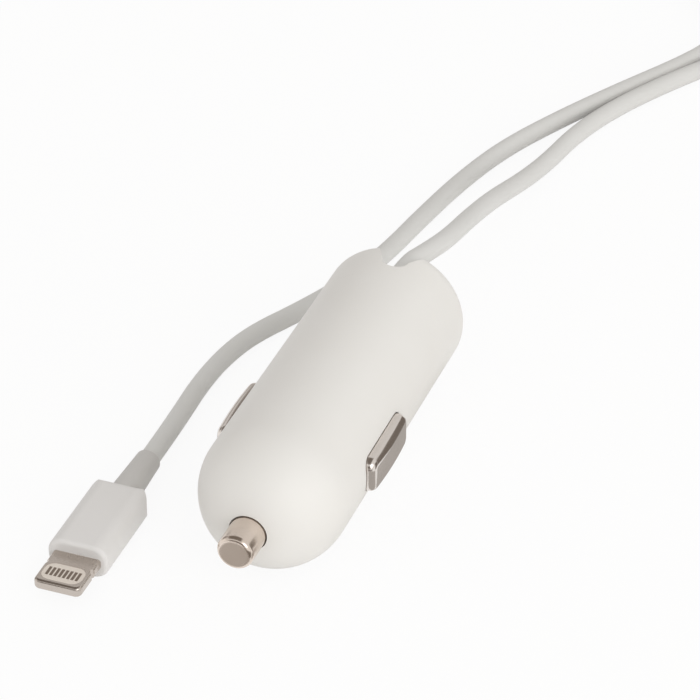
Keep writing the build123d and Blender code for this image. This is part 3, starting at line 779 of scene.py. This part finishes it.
class CHARGER_OT_connector(bpy.types.Operator):
    """Boot, strain relief, tongue, insulator and contact pads of the phone connector"""

    bl_idname = "charger.connector"
    bl_label = "Phone connector"

    def execute(self, context):
        tint = colours()
        boot = moulded("boot_white", tint.boot, (0.38, 0.5), depth=0.03, strength=0.12)
        dress(boot, "connector_boot")
        dress(moulded("sleeve_soft", tint.sleeve, (0.45, 0.58), depth=0.05), "connector_sleeve")
        plate = polished("tongue_plate", tint.tongue, (0.2, 0.32), stretch=LINES_ALONG_X)
        dress(plate, "connector_tongue")
        cream = moulded("insulator_cream", tint.insulator, (0.35, 0.45), depth=0.04)
        dress(cream, "contact_insulator")
        pads = polished("pad_plate", tint.pads, (0.22, 0.35))
        dress(pads, "upper_contact_pads", "lower_contact_pads")
        return {"FINISHED"}


class CHARGER_OT_tie(bpy.types.Operator):
    """Soft strap that laps round the coil's turns"""

    bl_idname = "charger.tie"
    bl_label = "Coil tie"

    def lead(self, x, z):
        """Pull the strap's open end straight on."""
        bpy.ops.mesh.extrude_edges_move(TRANSFORM_OT_translate={"value": (x, 0.0, z)})

    def wrap(self, x, z, degrees):
        """Bend the strap's open end round a turn of the cord."""
        bpy.ops.mesh.spin(
            steps=degrees // STRAP_BEND_STEP,
            angle=math.radians(degrees),
            center=(x, 0.0, z),
            axis=(0.0, -1.0, 0.0),
        )

    def shape(self, tie):
        """Strap laid round the turns' outline, with its end lapped over its start."""
        size = sizes()
        d = size.cord_diameter
        half = size.tie_width / 2
        low = size.coil_lift + d / 2
        rise = d * ROW_RISE
        lap = size.tie_thickness + size.tie_slack
        reach = d / 2 + size.tie_slack + size.tie_thickness / 2
        bpy.ops.object.mode_set(mode="EDIT")
        bpy.ops.mesh.select_mode(type="VERT")
        bpy.ops.transform.translate(value=(0.0, 0.0, low + rise + reach))
        bpy.ops.mesh.select_all(action="DESELECT")
        bpy.ops.object.mode_set(mode="OBJECT")
        for vertex in tie.data.vertices:
            vertex.select = vertex.co.x > 0
        bpy.ops.object.mode_set(mode="EDIT")
        self.lead(d - half, 0.0)
        self.wrap(d, low + rise, 60)
        self.lead(d / 2, -rise)
        self.wrap(1.5 * d, low, 120)
        self.lead(-3 * d, 0.0)
        self.wrap(-1.5 * d, low, 120)
        self.lead(d / 2 - lap * ROW_RISE, rise + lap / 2)
        self.wrap(-d, low + rise, 60)
        self.lead(d + half, 0.0)
        self.lead(half / 2, size.tie_slack)
        bpy.ops.mesh.bevel(offset=half / 2, segments=STRAP_END_STEPS, affect="VERTICES")
        bpy.ops.mesh.select_all(action="SELECT")
        bpy.ops.mesh.normals_make_consistent(inside=False)
        bpy.ops.transform.translate(value=(size.coil_radius, 0.0, 0.0))
        bpy.ops.transform.rotate(
            value=-math.radians(TIE_ANGLE), orient_axis="Z", center_override=(0.0, 0.0, 0.0)
        )
        bpy.ops.transform.translate(value=metres(COIL_MIDDLE))
        bpy.ops.object.mode_set(mode="OBJECT")

    def execute(self, context):
        size = sizes()
        bpy.ops.object.select_all(action="DESELECT")
        bpy.ops.mesh.primitive_plane_add(size=size.tie_width)
        tie = context.object
        tie.name = "coil_strap"
        self.shape(tie)
        wall = tie.modifiers.new("wall", "SOLIDIFY")
        wall.thickness = size.tie_thickness
        wall.offset = 0.0
        bpy.ops.object.modifier_apply(modifier=wall.name)
        edge = tie.modifiers.new("edge", "BEVEL")
        edge.width = size.tie_thickness / 4
        edge.segments = STRAP_EDGE_STEPS
        edge.limit_method = "ANGLE"
        edge.angle_limit = STRAP_EDGE_ANGLE
        bpy.ops.object.modifier_apply(modifier=edge.name)
        bpy.ops.object.shade_smooth_by_angle(angle=STRAP_SMOOTH_ANGLE)
        soft = moulded("tie_soft", colours().tie, (0.5, 0.65), depth=0.06, strength=0.3)
        tie.data.materials.append(soft)
        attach(tie, "plug")
        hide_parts("coil_tie")
        return {"FINISHED"}


class CHARGER_OT_springs(bpy.types.Operator):
    """Coil spring and leaf springs of the tip and the side contacts, drawn in spring steel at
    their rest length
    """

    bl_idname = "charger.springs"
    bl_label = "Springs"

    def copy_of(self, context, node):
        """Whole mesh of a spring from its loose triangles."""
        piece = bpy.data.objects.new(node + "_wire", NODES[node].data.copy())
        context.scene.collection.objects.link(piece)
        bpy.ops.object.select_all(action="DESELECT")
        piece.select_set(True)
        context.view_layer.objects.active = piece
        bpy.ops.object.mode_set(mode="EDIT")
        bpy.ops.mesh.select_all(action="SELECT")
        bpy.ops.mesh.remove_doubles(threshold=SPRING_WELD)
        bpy.ops.object.mode_set(mode="OBJECT")
        bpy.ops.object.shade_smooth_by_angle(angle=SPRING_SMOOTH_ANGLE)
        return piece

    def execute(self, context):
        steel = polished("spring_drawn", colours().steel, (0.24, 0.36))
        for joint in frame["record"]["behaviour"]["joints"]:
            for rule in joint["deforming_nodes"]:
                node = rule["node"]
                letter = rule["mode"][-1]
                along = "xyz".index(letter)
                axis = Vector((0.0, 0.0, 0.0))
                axis[along] = 1.0
                piece = self.copy_of(context, node)
                piece.data.materials.clear()
                piece.data.materials.append(steel)
                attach(piece, "plug")
                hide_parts(node)
                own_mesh(piece)
        return {"FINISHED"}


class CHARGER_OT_inner_metal(bpy.types.Operator):
    """Terminals, strap, clamp and leads inside the plug"""

    bl_idname = "charger.inner_metal"
    bl_label = "Inner metal"

    def execute(self, context):
        tint = colours()
        brass = polished("brass_stamped", tint.brass, (0.26, 0.4))
        dress(brass, "tip_terminal", "ground_strap", "cord_clamp")
        dress(moulded("lead_supply", tint.supply, (0.4, 0.5)), "supply_lead")
        dress(moulded("lead_return", tint.earth, (0.4, 0.5)), "return_lead")
        return {"FINISHED"}


class CHARGER_OT_board(bpy.types.Operator):
    """Boards and the converter's parts on them"""

    bl_idname = "charger.board"
    bl_label = "Board and parts"

    def execute(self, context):
        tint = colours()
        mask = moulded("board_mask", tint.board, (0.3, 0.42), depth=0.15)
        dress(mask, "main_board", "identity_board")
        can = polished("can_drawn", tint.can, (0.25, 0.4), stretch=LINES_ALONG_Z)
        dress(can, "input_capacitor", "output_capacitor")
        epoxy = moulded("epoxy_black", tint.epoxy, (0.45, 0.6), depth=0.2)
        dress(epoxy, "rectifier_diode", "converter_chip", "chip_resistors")
        dress(moulded("ferrite_grey", tint.ferrite, (0.5, 0.66), depth=0.25), "inductor_core")
        wire = polished("winding_copper", tint.copper, (0.22, 0.35), stretch=LINES_ROUND_Z)
        dress(wire, "inductor_winding")
        fired = moulded("ceramic_fired", tint.ceramic, (0.4, 0.55), depth=0.12)
        dress(fired, "chip_fuse", "ceramic_capacitors")
        return {"FINISHED"}


OPERATORS = (
    CHARGER_OT_stage,
    CHARGER_OT_tie,
    CHARGER_OT_cord,
    CHARGER_OT_shell,
    CHARGER_OT_contacts,
    CHARGER_OT_connector,
    CHARGER_OT_springs,
    CHARGER_OT_inner_metal,
    CHARGER_OT_board,
)


class CHARGER_PT_sidebar(bpy.types.Panel):
    """Sizes, colours and making steps of the charger"""

    bl_idname = "CHARGER_PT_sidebar"
    bl_label = "Car Charger Plug"
    bl_space_type = "VIEW_3D"
    bl_region_type = "UI"
    bl_category = "Charger"

    def draw(self, context):
        scene = context.scene
        for title, group in (
            ("Sizes", scene.charger_sizes),
            ("Colours", scene.charger_colours),
            ("Stage", scene.charger_stage),
        ):
            box = self.layout.box()
            box.label(text=title)
            for name in group.bl_rna.properties.keys():
                if name not in ("rna_type", "name"):
                    box.prop(group, name)
        for operator in OPERATORS:
            self.layout.operator(operator.bl_idname)


GROUPS = (
    ("charger_sizes", ChargerSizes),
    ("charger_colours", ChargerColours),
    ("charger_stage", ChargerStage),
)


def register():
    """Add the charger's settings, operators and panel."""
    for name, group in GROUPS:
        bpy.utils.register_class(group)
        setattr(bpy.types.Scene, name, PointerProperty(type=group))
    for cls in (*OPERATORS, CHARGER_PT_sidebar):
        bpy.utils.register_class(cls)


def unregister():
    """Take the panel, operators and settings away again."""
    for cls in reversed((*OPERATORS, CHARGER_PT_sidebar)):
        bpy.utils.unregister_class(cls)
    for name, group in reversed(GROUPS):
        delattr(bpy.types.Scene, name)
        bpy.utils.unregister_class(group)


def main():
    """Make every piece and the stage."""
    register()
    bpy.ops.object.select_all(action="DESELECT")
    bpy.ops.charger.stage()
    bpy.ops.charger.tie()
    bpy.ops.charger.cord()
    bpy.ops.charger.shell()
    bpy.ops.charger.contacts()
    bpy.ops.charger.connector()
    bpy.ops.charger.springs()
    bpy.ops.charger.inner_metal()
    bpy.ops.charger.board()


if __name__ == "__main__":
    main()
